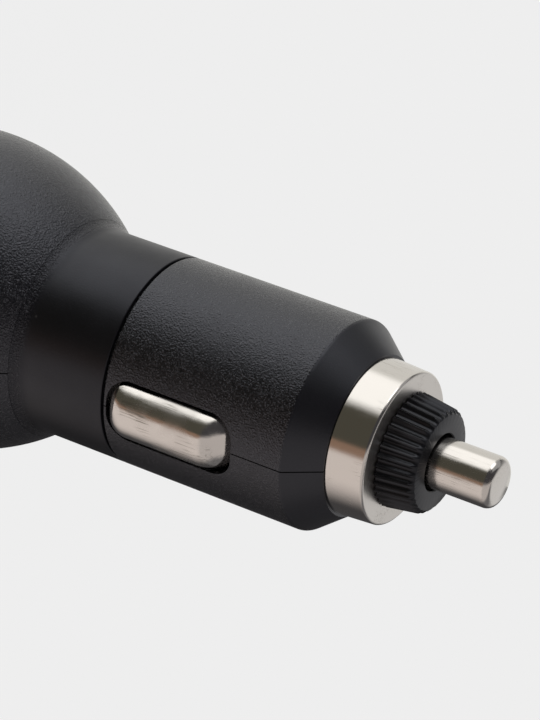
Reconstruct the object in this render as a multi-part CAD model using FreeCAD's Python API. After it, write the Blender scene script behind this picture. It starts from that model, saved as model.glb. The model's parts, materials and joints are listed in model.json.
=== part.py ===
import FreeCAD, Part
import math
import os

os.makedirs("parts", exist_ok=True)
V = FreeCAD.Vector

# Outside of the plug, millimetres, axis on Z, head face on Z = 0, parting plane on Y = 0
barrel_r = 10.4
head_r = 15.93
head_arc_r = 23.17
face_r = 13.66
collar_len = 9.6
barrel_len = 19.75
shoulder_len = 3.12
shoulder_end_r = 7.95
shoulder_round = 0.5
ring_len = 3.86
ring_back_r = 7.7
ring_front_r = 7.5
ring_round = 0.5
nut_len = 3.8
nut_back_r = 5.26
nut_front_r = 5.06
nut_rib_count = 36
nut_rib_depth = 0.3
nut_rib_crown = 0.06
nut_chamfer = 0.45
tip_r = 2.52
tip_out = 6.55
tip_round = 0.95
tip_crown = 0.15
rim_round = 0.9

# Side contact slots and strips
slot_from_seam = 0.45
slot_len = 13.9
slot_w = 6.4
slot_corner = 2.5
pad_w = 5.8
pad_flat_share = 0.28
pad_crown_r = 7.0
pad_roll_deg = 80.0
pad_rise = 1.35
pad_bend_spare = 0.3
pad_end_deg = 70.0
ramp_deg = 48.0
ramp_sink = 0.95
pad_corner = 2.2
strip_t = 0.5
strip_leg_w = 2.2
pad_gap = 0.35
jog_up = 0.3
jog_in = 0.15
hook_in = 0.12
leg_gap = 0.85
tab_len = 1.5
hook_back = 0.2
tail_gap = 0.46
tail_over = 1.1

# Walls and clearances
wall = 2.0
parting_gap = 0.12
sleeve_t = 0.4
lip_reach = 0.8
lip_t = 0.15
seam_gap = 0.3
close_gap = 0.05
running_gap = 0.3
flat_gap = 0.08
tube_wall = 1.1
stub_wall = 0.6
nut_face_wall = 1.2
flange_t = 1.0
flange_step = 0.63
stub_over = 0.2
tube_over = 0.5
bulkhead_t = 3.0
rib_half = 0.6
bridge_half = 5.2
bridge_rise = 0.95
bridge_t = 1.2

# Fuse and spring, 5 x 20 mm glass fuse
fuse_len = 20.0
fuse_cap_r = 2.6
fuse_cap_len = 5.0
fuse_cap_wall = 0.25
fuse_glass_wall = 0.55
fuse_wire_r = 0.12
spring_len = 9.0
spring_wire = 0.5
spring_r = 2.2
spring_turns = 6.5
coil_steps = 12
seat_t = 0.6
seat_rim = 0.8
nub_len = 1.8
prong_half = 1.5
prong_t = 0.4
prong_len = 1.8

# Face plate, port, board
plate_r = 12.2
plate_t = 1.8
ledge_t = 1.2
ledge_w = 0.9
board_t = 1.6
board_back = 0.4
board_side = 0.9
board_neck_gap = 0.65
board_taper = 5.0
root_drop = 4.1
usb_in_w = 12.5
usb_in_h = 5.1
usb_sheet = 0.3
usb_len = 13.0
usb_set_back = 0.5
tongue_w = 11.0
tongue_t = 1.85
tongue_len = 8.9
tongue_base = 2.9
tongue_back = 0.1
contact_t = 0.2
contact_w = 1.0
contact_bend = 1.6
contact_set_back = 2.0
contact_places = (-3.5, -1.0, 1.0, 3.5)
wing_w = 1.2
wing_front = 4.0
wing_back = 2.5
mouth_gap = 0.2
usb_side_gap = 0.15
notch_gap = 0.2
led_r = 1.5
led_y = 6.2
led_gap = 0.15
led_tip = 0.6
led_base = 2.6
led_flange_t = 0.8
led_flange_w = 0.25
lead_w = 0.5
lead_pitch = 1.27
lead_past = 1.0
rib_r = 1.1
rib_up = 7.0
rib_edge = 0.2

# Parts on the board, as shares of the room round them in the head
can_share = 0.265
can_place_share = 0.396
can_gap = 1.7
drum_share = 0.27
drum_place_share = 0.388
drum_height_share = 0.42
winding_share = 0.9
can_base = 0.8
can_bead = 0.3
row_share = 0.28
foot_share = 0.08

# Small packages, half width, half length and height
ic_half = (1.95, 2.45)
ic_low = 0.15
ic_top = 1.6
ic_pitch = 1.27
ic_lead_half = 0.2
ic_lead_t = 0.2
ic_lead_out = 0.6
ic_lead_foot = 0.45
ic_lead_z = 0.75
diode_half = (2.1, 1.25)
diode_h = 2.0
diode_x = 3.0
resistor_half = (0.8, 0.4)
resistor_h = 0.5
resistor_pitch = 2.4
chip_half = (0.5, 0.9)
chip_h = 0.9
chip_pitch = 2.0
chip_row = 2.5

# Levels along the axis
head_arc_x = head_r - head_arc_r


def arc_rise(r, arc_r):
    return math.sqrt(arc_r ** 2 - (r - head_arc_x) ** 2)


head_mid = arc_rise(face_r, head_arc_r)
neck_z = head_mid + arc_rise(barrel_r, head_arc_r)
seam_z = neck_z + collar_len
barrel_end = seam_z + barrel_len
ring_z = barrel_end + shoulder_len
ring_end = ring_z + ring_len
nut_z = ring_end + flat_gap
nut_end = nut_z + nut_len
tip_end = nut_end + tip_out
inner_r = barrel_r - wall
inner_arc_r = head_arc_r - wall
recess_r = barrel_r - sleeve_t - close_gap

flange_r = tip_r + flange_step
bore_r = flange_r + running_gap
stub_r = bore_r + stub_wall
tube_r = bore_r + tube_wall
nut_bore_r = stub_r + running_gap
hole_r = tip_r + running_gap
nut_wall_z = nut_end - nut_face_wall
flange_top = nut_wall_z - flat_gap
flange_z = flange_top - flange_t
stub_end = flange_z + stub_over
fuse_top = flange_z
fuse_z = fuse_top - fuse_len
spring_z = fuse_z - spring_len
seat_z = spring_z - seat_t
tube_z = fuse_z - tube_over
bulkhead_z = barrel_end - bulkhead_t

slot_z = seam_z + slot_from_seam
slot_end = slot_z + slot_len
pad_z = slot_z + pad_gap
pad_end = slot_end - pad_gap
pad_r = barrel_r + pad_rise
pad_flat = pad_flat_share * pad_w / 2
crown_turn = math.asin(pad_flat / pad_crown_r)
roll_turn = math.radians(pad_roll_deg)
pad_roll_r = (pad_w / 2 - pad_flat) / (math.sin(roll_turn) - math.sin(crown_turn))
roll_x = pad_r - pad_crown_r + (pad_crown_r - pad_roll_r) * math.cos(crown_turn)
roll_y = (pad_crown_r - pad_roll_r) * math.sin(crown_turn)
pad_deep = pad_r - roll_x - (pad_roll_r - strip_t) * math.cos(roll_turn)
pad_bend_r = pad_deep + pad_bend_spare
bend_x = pad_r - pad_bend_r
end_turn = math.radians(pad_end_deg)
end_z = pad_z + pad_bend_r * math.sin(end_turn)
ramp_turn = math.radians(ramp_deg)
ramp_drop = pad_rise + ramp_sink
ramp_len = (ramp_drop - pad_bend_r * (1 - math.cos(ramp_turn))) / math.sin(ramp_turn)
ramp_z = pad_end - pad_bend_r * math.sin(ramp_turn) - ramp_len * math.cos(ramp_turn)
jog_z = pad_z + jog_up
jog_x = bend_x + math.sqrt(pad_bend_r ** 2 - (end_z - jog_z) ** 2) - jog_in
leg_x = inner_r - leg_gap - strip_t
root_z = seat_z - root_drop

usb_w = usb_in_w + 2 * usb_sheet
usb_h = usb_in_h + 2 * usb_sheet
usb_end = usb_set_back + usb_len
board_y = board_t / 2
board_z = plate_t + board_back
board_end = seat_z
board_wide = plate_r - ledge_w - board_side
board_neck = leg_x - board_neck_gap
neck_start = neck_z - board_taper / 2
board_room = seat_z - usb_end
contact_foot = foot_share * board_room
part_row_z = usb_end + row_share * board_room
small_row_z = part_row_z + row_share * board_room


def head_radius(z, arc_r):
    return head_arc_x + math.sqrt(arc_r ** 2 - (z - head_mid) ** 2)


def room_radius(z):
    # radius of the hollow at this height: the head's inner arc, or the bore of the neck above it
    if z > head_mid + arc_rise(inner_r, inner_arc_r):
        return inner_r
    return head_radius(z, inner_arc_r)


# Flared foot of the neck sleeve, which runs out on the head
lip_z = neck_z - lip_reach
lip_r = head_radius(lip_z, head_arc_r)
lip_turn = math.asin((lip_z - head_mid) / head_arc_r)
flare_r = (lip_r - barrel_r) / (1 - math.cos(lip_turn))
flare_z = lip_z + flare_r * math.sin(lip_turn)

part_room = room_radius(part_row_z)
can_r = can_share * part_room
can_x = can_place_share * part_room
can_h = math.sqrt(part_room ** 2 - (can_x + can_r) ** 2) - board_y - can_gap
drum_r = drum_share * part_room
drum_x = drum_place_share * part_room
drum_h = drum_height_share * part_room


def path_face(start, steps):
    # closed face in the XZ plane; a step is a point, or a mid point and an end point of an arc
    edges = []
    here = V(start[0], 0, start[1])
    first = here
    for step in steps:
        if len(step) == 2:
            there = V(step[0], 0, step[1])
            edges.append(Part.LineSegment(here, there).toShape())
        else:
            mid = V(step[0], 0, step[1])
            there = V(step[2], 0, step[3])
            edges.append(Part.Arc(here, mid, there).toShape())
        here = there
    edges.append(Part.LineSegment(here, first).toShape())
    return Part.Face(Part.Wire(edges))


def spin(face, angle=360):
    return face.revolve(V(0, 0, 0), V(0, 0, 1), angle)


def box(x0, x1, y0, y1, z0, z1):
    return Part.makeBox(x1 - x0, y1 - y0, z1 - z0, V(x0, y0, z0))


def rod(r, z0, z1, x=0.0, y=0.0):
    return Part.makeCylinder(r, z1 - z0, V(x, y, z0))


def post(r, x, z, y0, y1):
    return Part.makeCylinder(r, y1 - y0, V(x, y0, z), V(0, 1, 0))


def ring(r_out, r_in, z0, z1):
    return rod(r_out, z0, z1).cut(rod(r_in, z0 - 1, z1 + 1))


def join(shapes):
    whole = shapes[0].multiFuse(shapes[1:])
    return whole.removeSplitter()


def on_circle(cx, cz, r, degrees):
    a = math.radians(degrees)
    return (cx + r * math.cos(a), cz + r * math.sin(a))


def rounded_prism(x0, x1, half_w, z0, z1, corner):
    # rounded rectangle in the YZ plane, run along X
    block = box(x0, x1, -half_w, half_w, z0, z1)
    along = [e for e in block.Edges if abs(e.tangentAt(e.FirstParameter).x) > 0.9]
    return block.makeFillet(corner, along)


def half_turn(shape):
    other = shape.copy()
    other.rotate(V(0, 0, 0), V(0, 0, 1), 180)
    return other


def save(name, shape):
    shape.exportStep("parts/" + name + ".step")


# Moulded body, made whole and then split on the parting plane

def shoulder_steps():
    run = shoulder_len
    drop = barrel_r - shoulder_end_r
    slope = math.atan2(drop, run)
    reach = shoulder_round * math.tan(slope / 2)
    cz = barrel_end - reach
    cx = barrel_r - shoulder_round
    mid = on_circle(cx, cz, shoulder_round, math.degrees(slope / 2))
    end = on_circle(cx, cz, shoulder_round, math.degrees(slope))
    return [(barrel_r, cz), (mid[0], mid[1], end[0], end[1]), (shoulder_end_r, ring_z)]


def under_lip(r, z, depth, wall_r):
    # from this point on the head, square down to a depth and then along under the lip to a wall
    low_r = r - depth * math.cos(lip_turn)
    low_z = z - depth * math.sin(lip_turn)
    return [(low_r, low_z), (wall_r, low_z + (low_r - wall_r) / math.tan(lip_turn))]


def body_outside():
    rim_top = head_radius(rim_round, head_arc_r)
    rim_in = face_r - rim_round
    across = rim_top - rim_in
    bend_r = (across ** 2 + rim_round ** 2) / (2 * rim_round)
    mid = on_circle(rim_in, bend_r, bend_r, math.degrees(math.asin(across / bend_r)) / 2 - 90)
    steps = [(rim_in, 0)]
    steps.append((mid[0], mid[1], rim_top, rim_round))
    step_z = lip_z - close_gap
    step_r = head_radius(step_z, head_arc_r)
    steps.append((head_r, head_mid, step_r, step_z))
    steps += under_lip(step_r, step_z, lip_t + close_gap, recess_r)
    steps.append((recess_r, seam_z + seam_gap / 2))
    steps.append((barrel_r, seam_z + seam_gap / 2))
    steps += shoulder_steps()
    steps += [(stub_r, ring_z), (stub_r, stub_end), (0, stub_end)]
    return spin(path_face((0, 0), steps))


def body_hollow():
    seat_r = plate_r + close_gap
    ledge_r = plate_r - ledge_w
    ledge_top = plate_t + ledge_t
    inner_mid = head_arc_x + inner_arc_r
    inner_neck = head_mid + arc_rise(inner_r, inner_arc_r)
    steps = [(seat_r, -1), (seat_r, plate_t), (ledge_r, plate_t), (ledge_r, ledge_top)]
    steps.append((head_radius(ledge_top, inner_arc_r), ledge_top))
    steps.append((inner_mid, head_mid, inner_r, inner_neck))
    steps += [(inner_r, bulkhead_z), (0, bulkhead_z)]
    return spin(path_face((0, -1), steps))


def fuse_tube():
    return rod(tube_r, tube_z, bulkhead_z + 1)


def tube_ribs():
    rib = box(-rib_half, rib_half, 0, barrel_r, tube_z, bulkhead_z + 1)
    return join([rib, half_turn(rib)])


def board_ribs():
    # one bridge across the neck and two pads in the head press on each face of the board
    gap = board_y + close_gap
    bridge_z = root_z + bridge_rise
    bridge = box(-bridge_half, bridge_half, gap, barrel_r, bridge_z, bridge_z + bridge_t)
    pad_x = board_wide - rib_r - rib_edge
    pads = [post(rib_r, x, plate_t + rib_up, gap, head_r) for x in (-pad_x, pad_x)]
    side = join([bridge] + pads)
    return [side, half_turn(side)]


def moulded_body():
    outside = body_outside()
    keep = [fuse_tube(), tube_ribs()] + board_ribs()
    hollow = body_hollow()
    for piece in keep:
        hollow = hollow.cut(piece)
    shape = outside.cut(hollow)
    shape = shape.cut(rod(bore_r, tube_z - 1, stub_end + 1))
    slot = rounded_prism(tube_r + wall / 2, head_r, slot_w / 2, slot_z, slot_end, slot_corner)
    shape = shape.cut(slot)
    return shape.cut(half_turn(slot))


def housing_halves():
    shape = moulded_body()
    far = 2 * head_r
    half = parting_gap / 2
    save("housing_half_front", shape.common(box(-far, far, -far, -half, -far, tip_end)))
    save("housing_half_back", shape.common(box(-far, far, half, far, -far, tip_end)))


def neck_sleeve():
    # pushed over both halves, flared at its foot to run out on the head
    inner = recess_r + close_gap
    top = seam_z - seam_gap / 2
    mid = on_circle(barrel_r + flare_r, flare_z, flare_r, 180 + math.degrees(lip_turn) / 2)
    low, start = under_lip(lip_r, lip_z, lip_t, inner)
    steps = [low, (lip_r, lip_z), (mid[0], mid[1], barrel_r, flare_z), (barrel_r, top), (inner, top)]
    save("neck_sleeve", spin(path_face(start, steps)))


# Nose

def nose_ring():
    top = ring_end
    mid = on_circle(ring_front_r - ring_round, top - ring_round, ring_round, 45)
    steps = [(ring_back_r, ring_z), (ring_front_r, top - ring_round)]
    steps.append((mid[0], mid[1], ring_front_r - ring_round, top))
    steps.append((stub_r + close_gap, top))
    save("nose_ring", spin(path_face((stub_r + close_gap, ring_z), steps)))


def rib_wire(crest, z):
    points = []
    pitch = 2 * math.pi / nut_rib_count
    root = crest - nut_rib_depth
    side = crest - nut_rib_crown
    for i in range(nut_rib_count):
        a = i * pitch
        for r, share in ((root, 0.0), (side, 0.3), (crest, 0.5), (side, 0.7)):
            b = a + share * pitch
            points.append(V(r * math.cos(b), r * math.sin(b), z))
    return Part.makePolygon(points + [points[0]])


def nose_nut():
    ribbed = Part.makeLoft([rib_wire(nut_back_r, nut_z), rib_wire(nut_front_r, nut_end)], True, True)
    far = nut_back_r + nut_rib_depth
    steps = [(far, nut_z), (far, nut_end - nut_chamfer - (far - nut_front_r))]
    steps += [(nut_front_r - nut_chamfer, nut_end), (0, nut_end)]
    shape = ribbed.common(spin(path_face((0, nut_z), steps)))
    shape = shape.cut(rod(nut_bore_r, nut_z - 1, nut_wall_z))
    save("nose_nut", shape.cut(rod(hole_r, nut_z - 1, nut_end + 1)))


def tip_contact():
    # flange inside the nut, straight pin, rounded edge and a slightly crowned end
    edge_r = tip_r - tip_round
    edge_z = tip_end - tip_crown
    crown_r = (edge_r ** 2 + tip_crown ** 2) / (2 * tip_crown)
    crown_deg = math.degrees(math.asin(edge_r / crown_r))
    mid = on_circle(edge_r, edge_z - tip_round, tip_round, 45)
    crown_mid = on_circle(0, tip_end - crown_r, crown_r, 90 - crown_deg / 2)
    steps = [(flange_r, flange_z), (flange_r, flange_top), (tip_r, flange_top), (tip_r, edge_z - tip_round)]
    steps.append((mid[0], mid[1], edge_r, edge_z))
    steps.append((crown_mid[0], crown_mid[1], 0, tip_end))
    save("tip_contact", spin(path_face((0, flange_z), steps)))


# Fuse and spring

def fuse_cap(closed_z, open_z):
    # a cup, closed at one end
    way = 1 if open_z > closed_z else -1
    inside = closed_z + way * fuse_cap_wall
    low, high = sorted((closed_z, open_z))
    shape = rod(fuse_cap_r, low, high)
    low, high = sorted((inside, open_z + way))
    return shape.cut(rod(fuse_cap_r - fuse_cap_wall, low, high))


def fuse():
    glass_r = fuse_cap_r - fuse_cap_wall - close_gap
    glass_z = fuse_z + fuse_cap_wall + close_gap
    glass_top = fuse_top - fuse_cap_wall - close_gap
    save("fuse_cap_rear", fuse_cap(fuse_z, fuse_z + fuse_cap_len))
    save("fuse_cap_front", fuse_cap(fuse_top, fuse_top - fuse_cap_len))
    save("fuse_glass", ring(glass_r, glass_r - fuse_glass_wall, glass_z, glass_top))
    save("fuse_wire", rod(fuse_wire_r, glass_z, glass_top))


def coil_section(turn, low, pitch):
    # six-sided section of the wire, square to the coil's circle
    around = 2 * math.pi * turn
    points = []
    for i in range(6):
        b = math.pi * i / 3
        r = spring_r + spring_wire / 2 * math.cos(b)
        z = low + pitch * turn + spring_wire / 2 * math.sin(b)
        points.append(V(r * math.cos(around), r * math.sin(around), z))
    return Part.makePolygon(points + [points[0]])


def tip_spring():
    low = spring_z + spring_wire / 2
    pitch = (spring_len - spring_wire) / spring_turns
    count = int(spring_turns * coil_steps)
    sections = [coil_section(k / coil_steps, low, pitch) for k in range(count + 1)]
    save("tip_spring", Part.makeLoft(sections, True, True))


def spring_seat():
    cup = rod(spring_r + seat_rim, seat_z, spring_z)
    nub = rod(spring_r - seat_rim, seat_z, spring_z + nub_len)
    prong = box(-prong_half, prong_half, board_y, board_y + prong_t, seat_z - prong_len, spring_z)
    save("spring_seat", join([cup, nub, prong, half_turn(prong)]))


# Side contacts

def arch_point(turn, inset):
    # point on the strip's outer face, or inset below it, where the face has turned this far from its crown
    side = -1 if turn < 0 else 1
    a = abs(turn)
    if a <= crown_turn:
        r = pad_crown_r - inset
        return V(pad_r - pad_crown_r + r * math.cos(a), side * r * math.sin(a), 0)
    r = pad_roll_r - inset
    return V(roll_x + r * math.cos(a), side * (roll_y + r * math.sin(a)), 0)


def arch_edges(inset):
    stops = (-roll_turn, -crown_turn, crown_turn, roll_turn)
    edges = []
    for a, b in zip(stops, stops[1:]):
        points = [arch_point(turn, inset) for turn in (a, (a + b) / 2, b)]
        edges.append(Part.Arc(points[0], points[1], points[2]).toShape())
    return edges


def arch_face(z):
    # section across the strip: nearly flat in the middle, rolled over at both edges
    edges = arch_edges(0) + arch_edges(strip_t)
    for turn in (-roll_turn, roll_turn):
        edges.append(Part.makeLine(arch_point(turn, 0), arch_point(turn, strip_t)))
    face = Part.Face(Part.Wire(Part.__sortEdges__(edges)))
    face.translate(V(0, 0, z))
    return face


def pad_sheet():
    # straight run, bent down at the seam end, bent and then ramped down into the slot at the nose end
    run = arch_face(end_z).extrude(V(0, 0, ramp_z - end_z))
    seam_bend = arch_face(end_z).revolve(V(bend_x, 0, end_z), V(0, 1, 0), pad_end_deg)
    nose_bend = arch_face(ramp_z).revolve(V(bend_x, 0, ramp_z), V(0, -1, 0), ramp_deg)
    section = arch_face(ramp_z)
    section.rotate(V(bend_x, 0, ramp_z), V(0, -1, 0), ramp_deg)
    ramp = section.extrude(V(-math.sin(ramp_turn), 0, math.cos(ramp_turn)) * ramp_len)
    sheet = join([run, seam_bend, nose_bend, ramp])
    outline = rounded_prism(0, pad_r + strip_t, pad_w / 2 + close_gap, pad_z, pad_end, pad_corner)
    return sheet.common(outline)


def side_contact():
    half = strip_leg_w / 2
    jog = box(leg_x, jog_x, -half, half, jog_z, jog_z + strip_t)
    leg = box(leg_x, leg_x + strip_t, -half, half, root_z - strip_t / 2, jog_z + strip_t)
    tab = box(leg_x - tab_len, leg_x + strip_t, -half, half, root_z - strip_t / 2, root_z + strip_t / 2)
    tail_x = inner_r - tail_gap
    hook_top = pad_end - hook_back
    hook_x = pad_r - ramp_drop - hook_in
    hook = box(tail_x - strip_t, hook_x, -half, half, hook_top - strip_t, hook_top)
    tail = box(tail_x - strip_t, tail_x, -half, half, hook_top - strip_t, slot_end + tail_over)
    return join([pad_sheet(), jog, leg, tab, hook, tail])


def side_contacts():
    strip = side_contact()
    save("side_contact_right", strip)
    save("side_contact_left", half_turn(strip))


# Head: face plate, port, board

def face_plate():
    shape = rod(plate_r, 0, plate_t)
    half_w = usb_w / 2 + mouth_gap
    half_h = usb_h / 2 + mouth_gap
    shape = shape.cut(box(-half_w, half_w, -half_h, half_h, -1, plate_t + 1))
    save("face_plate", shape.cut(rod(led_r + led_gap, -1, plate_t + 1, 0, led_y)))


def usb_socket():
    hw = usb_w / 2
    hh = usb_h / 2
    shell = box(-hw, hw, -hh, hh, usb_set_back, usb_end)
    shell = shell.cut(box(-usb_in_w / 2, usb_in_w / 2, -usb_in_h / 2, usb_in_h / 2, 0, usb_end + 1))
    wings = []
    for x0, x1 in ((-hw - wing_w, -hw + usb_sheet), (hw - usb_sheet, hw + wing_w)):
        front = usb_set_back + wing_front
        wings.append(box(x0, x1, board_y, board_y + usb_sheet, front, usb_end - wing_back))
    save("usb_socket_shell", join([shell] + wings))


def usb_contact(x):
    front = usb_end - tongue_back - tongue_len - contact_set_back
    bend = usb_end - contact_bend
    x0 = x - contact_w / 2
    x1 = x + contact_w / 2
    run = box(x0, x1, 0, contact_t, front, bend + contact_t)
    rise = box(x0, x1, 0, board_y + contact_t, bend, bend + contact_t)
    foot = box(x0, x1, board_y, board_y + contact_t, bend, usb_end + contact_foot)
    return join([run, rise, foot])


def usb_inside():
    pins = Part.makeCompound([usb_contact(x) for x in contact_places])
    half_w = usb_in_w / 2 - close_gap
    half_h = usb_in_h / 2 - close_gap
    back = usb_end - tongue_back
    front = back - tongue_base - tongue_len
    block = box(-half_w, half_w, -half_h, half_h, back - tongue_base, back)
    tongue = box(-tongue_w / 2, tongue_w / 2, contact_t, contact_t + tongue_t, front, back)
    body = join([block, tongue])
    for pin in pins.Solids:
        body = body.cut(pin)
    save("usb_tongue", body)
    save("usb_contacts", pins)


def circuit_board():
    hw = usb_w / 2 + usb_side_gap
    mouth = usb_end + mouth_gap
    right = [(hw, board_z), (board_wide, board_z), (board_wide, neck_start - board_taper)]
    right += [(board_neck, neck_start), (board_neck, board_end)]
    points = [(hw, mouth)] + right
    points += [(-x, z) for x, z in reversed(points)]
    wire = Part.makePolygon([V(x, -board_y, z) for x, z in points + [points[0]]])
    shape = Part.Face(wire).extrude(V(0, board_t, 0))
    notch_h = strip_t / 2 + notch_gap
    notch_x = leg_x - tab_len - notch_gap
    notch = box(notch_x, board_wide, -board_t, board_t, root_z - notch_h, root_z + notch_h)
    shape = shape.cut(notch)
    save("circuit_board", shape.cut(half_turn(notch)))


def lamp():
    base = plate_t + led_base
    dome = Part.makeSphere(led_r, V(0, led_y, led_tip + led_r))
    barrel = rod(led_r, led_tip + led_r, base, 0, led_y)
    flange = rod(led_r + led_flange_w, base - led_flange_t, base, 0, led_y)
    save("indicator_led", join([dome, barrel, flange]))
    leads = []
    end = usb_end + contact_foot + lead_past
    half = lead_w / 2
    for x in (-lead_pitch / 2, lead_pitch / 2):
        run = box(x - half, x + half, led_y - half, led_y + half, base, end)
        drop = box(x - half, x + half, board_y, led_y + half, end - lead_w, end)
        leads.append(join([run, drop]))
    save("led_leads", Part.makeCompound(leads))


# Parts on the board; side is 1 on the back face and -1 on the front face

def upright(profile, x, z, side):
    # turn a shape built on Z = 0 so that it stands on one face of the board
    shape = profile.copy()
    shape.rotate(V(0, 0, 0), V(1, 0, 0), -90 * side)
    shape.translate(V(x, side * board_y, z))
    return shape


def capacitor_can(r, height):
    side = r + can_bead / 2
    waist = r - can_bead
    base = box(-side, side, -side, side, 0, can_base)
    low = 2 * can_base
    steps = [(r, 0), (r, low)]
    steps += [(waist, low + can_bead), (waist, low + 2 * can_bead), (r, low + 3 * can_bead)]
    steps += [(r, height - can_bead), (waist, height), (0, height)]
    return join([base, spin(path_face((0, 0), steps))])


def capacitors():
    can = capacitor_can(can_r, can_h)
    save("output_capacitor", upright(can, can_x, part_row_z, 1))
    save("input_capacitor", upright(can, can_x, part_row_z, -1))


def inductor():
    flange = drum_h / 5
    post_r = drum_r / 2
    drum = join([rod(drum_r, 0, flange), rod(post_r, 0, drum_h), rod(drum_r, drum_h - flange, drum_h)])
    turns = ring(drum_r * winding_share, post_r + close_gap, flange + close_gap, drum_h - flange - close_gap)
    save("inductor_core", upright(drum, -drum_x, part_row_z, 1))
    save("inductor_winding", upright(turns, -drum_x, part_row_z, 1))


def flat_package(half, low, high):
    return box(-half[0], half[0], -half[1], half[1], low, high)


def ic_lead(way, y):
    # out of the package's side, down to the board and along it
    out = ic_half[0] + ic_lead_out
    level = ic_lead_z + ic_lead_t
    spans = [(ic_half[0], out, ic_lead_z, level), (out - ic_lead_t, out, 0, level)]
    spans.append((out - ic_lead_t, out + ic_lead_foot, 0, ic_lead_t))
    bars = []
    for near, far, low, high in spans:
        x0, x1 = sorted((way * near, way * far))
        bars.append(box(x0, x1, y - ic_lead_half, y + ic_lead_half, low, high))
    return join(bars)


def regulator():
    leads = []
    for i in range(4):
        y = ic_pitch * (i - 1.5)
        leads += [ic_lead(-1, y), ic_lead(1, y)]
    z = part_row_z - ic_lead_out
    save("regulator_ic", upright(flat_package(ic_half, ic_low, ic_top), -drum_x, z, -1))
    save("ic_leads", upright(Part.makeCompound(leads), -drum_x, z, -1))


def row(shape, pitch, z):
    places = [pitch * (i - 1.5) for i in range(4)]
    return Part.makeCompound([upright(shape, x, z, 1) for x in places])


def small_parts():
    diode = flat_package(diode_half, 0, diode_h)
    resistor = flat_package(resistor_half, 0, resistor_h)
    chip = flat_package(chip_half, 0, chip_h)
    z = small_row_z - resistor_half[0]
    save("rectifier_diode", upright(diode, -diode_x, small_row_z, -1))
    save("smd_resistors", row(resistor, resistor_pitch, z))
    save("smd_capacitors", row(chip, chip_pitch, z + chip_row))


housing_halves()
neck_sleeve()
nose_ring()
nose_nut()
tip_contact()
fuse()
tip_spring()
spring_seat()
side_contacts()
face_plate()
usb_socket()
usb_inside()
circuit_board()
lamp()
capacitors()
inductor()
regulator()
small_parts()
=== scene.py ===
import json
import math
import bmesh
import bpy
from mathutils import Matrix, Vector


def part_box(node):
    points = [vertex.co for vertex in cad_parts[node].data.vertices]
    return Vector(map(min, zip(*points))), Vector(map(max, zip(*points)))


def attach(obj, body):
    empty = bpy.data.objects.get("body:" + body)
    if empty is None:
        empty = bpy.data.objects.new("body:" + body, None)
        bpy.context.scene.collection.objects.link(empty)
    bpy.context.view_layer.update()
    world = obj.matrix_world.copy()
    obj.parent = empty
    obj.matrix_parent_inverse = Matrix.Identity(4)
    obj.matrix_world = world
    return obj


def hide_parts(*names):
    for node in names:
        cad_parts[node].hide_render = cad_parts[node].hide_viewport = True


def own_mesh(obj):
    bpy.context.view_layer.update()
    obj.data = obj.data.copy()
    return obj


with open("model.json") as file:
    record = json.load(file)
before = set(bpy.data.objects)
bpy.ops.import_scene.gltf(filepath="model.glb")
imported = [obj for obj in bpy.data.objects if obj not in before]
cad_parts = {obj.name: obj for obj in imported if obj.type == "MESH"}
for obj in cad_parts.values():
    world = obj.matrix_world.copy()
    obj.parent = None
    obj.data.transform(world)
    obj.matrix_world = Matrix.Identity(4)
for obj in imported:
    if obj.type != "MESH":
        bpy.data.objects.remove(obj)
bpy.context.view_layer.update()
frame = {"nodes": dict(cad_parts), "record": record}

mm = 0.001
roundSteps = 144  # steps in a full turn of a spun piece
mergeDist = 0.002 * mm  # points nearer than this become one


# helpers

def objectFrom(name, bm):
    mesh = bpy.data.meshes.new(name)
    bm.to_mesh(mesh)
    bm.free()
    made = bpy.data.objects.new(name, mesh)
    bpy.context.scene.collection.objects.link(made)
    return made


def addPiece(name, bm, body, nodeNames, material, smoothAngle=35):
    bmesh.ops.remove_doubles(bm, verts=bm.verts, dist=mergeDist)
    bmesh.ops.recalc_face_normals(bm, faces=bm.faces)
    piece = objectFrom(name, bm)
    return dressPiece(piece, body, nodeNames, material, smoothAngle)


def dressPiece(piece, body, nodeNames, material, smoothAngle=35):
    piece.data.materials.clear()
    piece.data.materials.append(material)
    shadeByAngle(piece.data, smoothAngle)
    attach(piece, body)
    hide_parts(*nodeNames)
    return piece


def shadeByAngle(mesh, degrees):
    bm = bmesh.new()
    bm.from_mesh(mesh)
    for face in bm.faces:
        face.smooth = True
    for edge in bm.edges:
        edge.smooth = len(edge.link_faces) == 2 and edge.calc_face_angle(0) < math.radians(degrees)
    bm.to_mesh(mesh)
    bm.free()


def arcPoints(centreR, centreZ, radius, startDeg, endDeg, count):
    points = []
    for i in range(count + 1):
        a = math.radians(startDeg + (endDeg - startDeg) * i / count)
        points.append((centreR + radius * math.cos(a), centreZ + radius * math.sin(a)))
    return points


def profileEdges(bm, points, closed):
    # (radius, height) pairs in mm, drawn in the XZ plane
    verts = [bm.verts.new((r * mm, 0, z * mm)) for r, z in points]
    pairs = list(zip(verts, verts[1:]))
    if closed:
        pairs.append((verts[-1], verts[0]))
    return verts + [bm.edges.new(pair) for pair in pairs]


def spun(points, closed=True):
    bm = bmesh.new()
    geom = profileEdges(bm, points, closed)
    bmesh.ops.spin(bm, geom=geom, cent=(0, 0, 0), axis=(0, 0, 1), dvec=(0, 0, 0),
                   angle=2 * math.pi, steps=roundSteps, use_merge=True, use_duplicate=False)
    bmesh.ops.remove_doubles(bm, verts=bm.verts, dist=mergeDist)
    return bm


def boxInto(bm, low, high):
    made = bmesh.ops.create_cube(bm, size=1.0)["verts"]
    size = [(b - a) * mm for a, b in zip(low, high)]
    middle = [(a + b) / 2 * mm for a, b in zip(low, high)]
    bmesh.ops.scale(bm, vec=size, verts=made)
    bmesh.ops.translate(bm, vec=middle, verts=made)
    return made


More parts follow.
